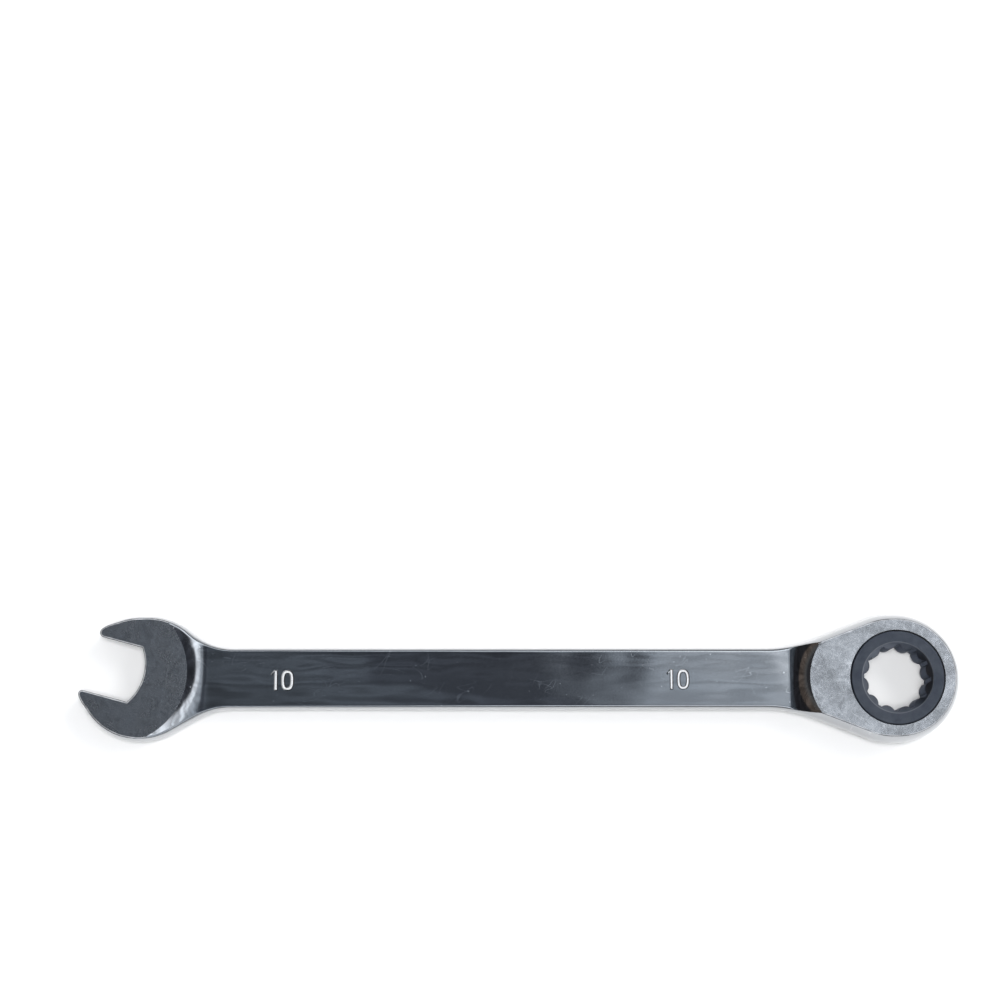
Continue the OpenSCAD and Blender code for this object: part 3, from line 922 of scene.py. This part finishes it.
def studio_world():
    """A soft studio as the metal sees it: dim overhead, bright to the right, with a dark horizon."""
    world = bpy.data.worlds.new("studio")
    world.use_nodes = True
    bpy.context.scene.world = world
    tree = world.node_tree

    def node(kind, inputs=None, **settings):
        return add_node(tree, kind, inputs, **settings)

    direction = node("ShaderNodeTexCoord").outputs["Generated"]
    split = node("ShaderNodeSeparateXYZ", {0: direction})
    east, north, up = split.outputs
    high = node("ShaderNodeMath", {0: up, 1: 0.05}, operation="MAXIMUM").outputs[0]
    blur = node("ShaderNodeTexNoise", {"Vector": direction, "Scale": 9.0, "Detail": 1.0}).outputs["Fac"]
    across = node("ShaderNodeMath", {0: east, 1: high}, operation="DIVIDE").outputs[0]
    along = node("ShaderNodeMath", {0: north, 1: high}, operation="DIVIDE").outputs[0]
    aside = node("ShaderNodeMath", {0: along}, operation="ABSOLUTE").outputs[0]
    lean = node("ShaderNodeMath", {0: aside, 1: 0.35, 2: across}, operation="MULTIPLY_ADD").outputs[0]
    place = node("ShaderNodeMath", {0: blur, 1: 0.12, 2: lean}, operation="MULTIPLY_ADD").outputs[0]
    shift = node("ShaderNodeMapRange", {0: place, 1: -1.0, 2: 1.0})
    overhead = node("ShaderNodeValToRGB", {0: shift.outputs[0]})
    # how far a reflection leans to +X, as east over up, and the colour seen there
    stops = ((-1.0, (0.13, 0.105, 0.09)), (-0.85, (0.025, 0.025, 0.028)), (-0.2, (0.03, 0.03, 0.035)),
             (-0.12, (0.082, 0.095, 0.112)), (0.02, (0.125, 0.146, 0.174)), (0.06, (0.07, 0.08, 0.1)),
             (0.125, (0.075, 0.085, 0.104)), (0.16, (0.42, 0.47, 0.53)), (0.205, (0.54, 0.59, 0.65)),
             (0.235, (1.3, 1.38, 1.47)), (0.33, (1.3, 1.36, 1.44)), (0.39, (0.06, 0.065, 0.078)),
             (0.78, (0.05, 0.055, 0.07)), (0.86, (0.9, 0.94, 1.0)), (1.0, (1.0, 1.02, 1.05)))
    ramp = overhead.color_ramp
    while len(ramp.elements) < len(stops):
        ramp.elements.new(0.5)
    for element, (at, colour) in zip(ramp.elements, stops):
        element.position, element.color = (at + 1) / 2, (*colour, 1)
    low = node("ShaderNodeMapRange", {0: up, 1: 0.22, 2: 0.5, 3: 1.0, 4: 0.0},
               interpolation_type="SMOOTHSTEP")
    stretched = node("ShaderNodeVectorMath", {0: direction, 1: (2.0, 42.0, 0.0)}, operation="MULTIPLY")
    streak = node("ShaderNodeTexNoise", {"Vector": stretched.outputs[0], "Scale": 1.0, "Detail": 1.0})
    gain = node("ShaderNodeMapRange", {0: streak.outputs["Fac"], 1: 0.4, 2: 0.6, 3: 0.5, 4: 1.65})
    banded = node("ShaderNodeVectorMath", {0: overhead.outputs[0], "Scale": gain.outputs[0]},
                  operation="SCALE")
    pale = node("ShaderNodeMapRange", {0: east, 1: -0.5, 2: 0.2, 3: 0.14, 4: 0.85})
    level = node("ShaderNodeMapRange", {0: up, 1: 0.18, 2: 0.3}, interpolation_type="SMOOTHSTEP")
    horizon = node("ShaderNodeMix", {0: level.outputs[0], 6: (0.05, 0.05, 0.055, 1), 7: pale.outputs[0]},
                   data_type="RGBA")
    mix = node("ShaderNodeMix", {0: low.outputs[0], 6: banded.outputs[0], 7: horizon.outputs[2]},
               data_type="RGBA")
    tree.links.new(mix.outputs[2], tree.nodes["Background"].inputs[0])


def pale_floor():
    """A plain pale floor that touches the ring's lower face and the jaw's tip."""
    g = Graph("pale_floor")
    g.join(g.mix(g.spread(g.noise(30, 2), 0.3, 0.7), (0.86, 0.86, 0.86, 1), (0.88, 0.88, 0.88, 1)),
           "Base Color")
    g.shader.inputs["Roughness"].default_value = 0.9
    g.shader.inputs["Specular IOR Level"].default_value = 0.1
    foot = ring_x - ring_face_shift - ring_face_radius
    lift = mid_z - open_half
    slope = lift / (foot - body_low[0])
    half, clearance = 3000, 0.02
    corners = [(x, y, -slope * (x - foot) - clearance) for x, y in
               ((-half, -half), (half, -half), (half, half), (-half, half))]
    shell = Shell()
    shell.face(shell.add(corners))
    floor = shell.build("floor", [g.material])


look_from((-3.52, -35.7, 468.4), 8.4, -0.03, 92.25)
studio_world()
area_light("key", (640, 470, 620), (0, 0, 0), 560, 4.6)
area_light("overhead", (10, -50, 900), (0, 0, 0), 260, 6.0)
area_light("fill", (-620, 260, 620), (0, 0, 0), 700, 0.5, (1, 0.98, 0.95))
area_light("front", (60, -760, 560), (0, 0, 0), 640, 0.6)
pale_floor()

# the last finish is the painted highlight on the heads' rims
finishes = [polished_chrome(), ground_chrome(), stamped_chrome(), rim_highlight_chrome()]
body = body_shell().build("wrench_body_forged", finishes)
cut(body, cylinder_cutter("pocket", pocket_radius, (ring_x - pawl_offset, 0, pocket_low), (0, 0, 1),
                          pocket_high - pocket_low))
cut(body, cylinder_cutter("spring_bore", spring_hole, (ring_x - pawl_offset, 0, mid_z - spring_drop),
                          (-1, 0, 0), spring_length + spring_room, 48))
finish_mesh(body.data, 30)
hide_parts("wrench_body")
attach(body, "wrench")

gear = ratchet_gear(black_oxide())
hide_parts("ratchet_gear")
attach(gear, "gear")

snap = retaining_ring(plain_steel("ring_steel", (0.42, 0.42, 0.43, 1), (0.3, 0.3, 0.31, 1), 0.3))
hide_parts("retaining_ring")
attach(snap, "wrench")

spring = pawl_spring(plain_steel("spring_steel", (0.6, 0.59, 0.56, 1), (0.45, 0.44, 0.42, 1), 0.22))
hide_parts("pawl_spring")
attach(spring, "wrench")
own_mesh(spring)

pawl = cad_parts["pawl"]
for index in range(len(pawl.material_slots)):
    pawl.material_slots[index].material = plain_steel(
        "hardened_steel", (0.4, 0.4, 0.41, 1), (0.28, 0.28, 0.3, 1), 0.32)

bpy.context.scene.view_settings.view_transform = "Standard"
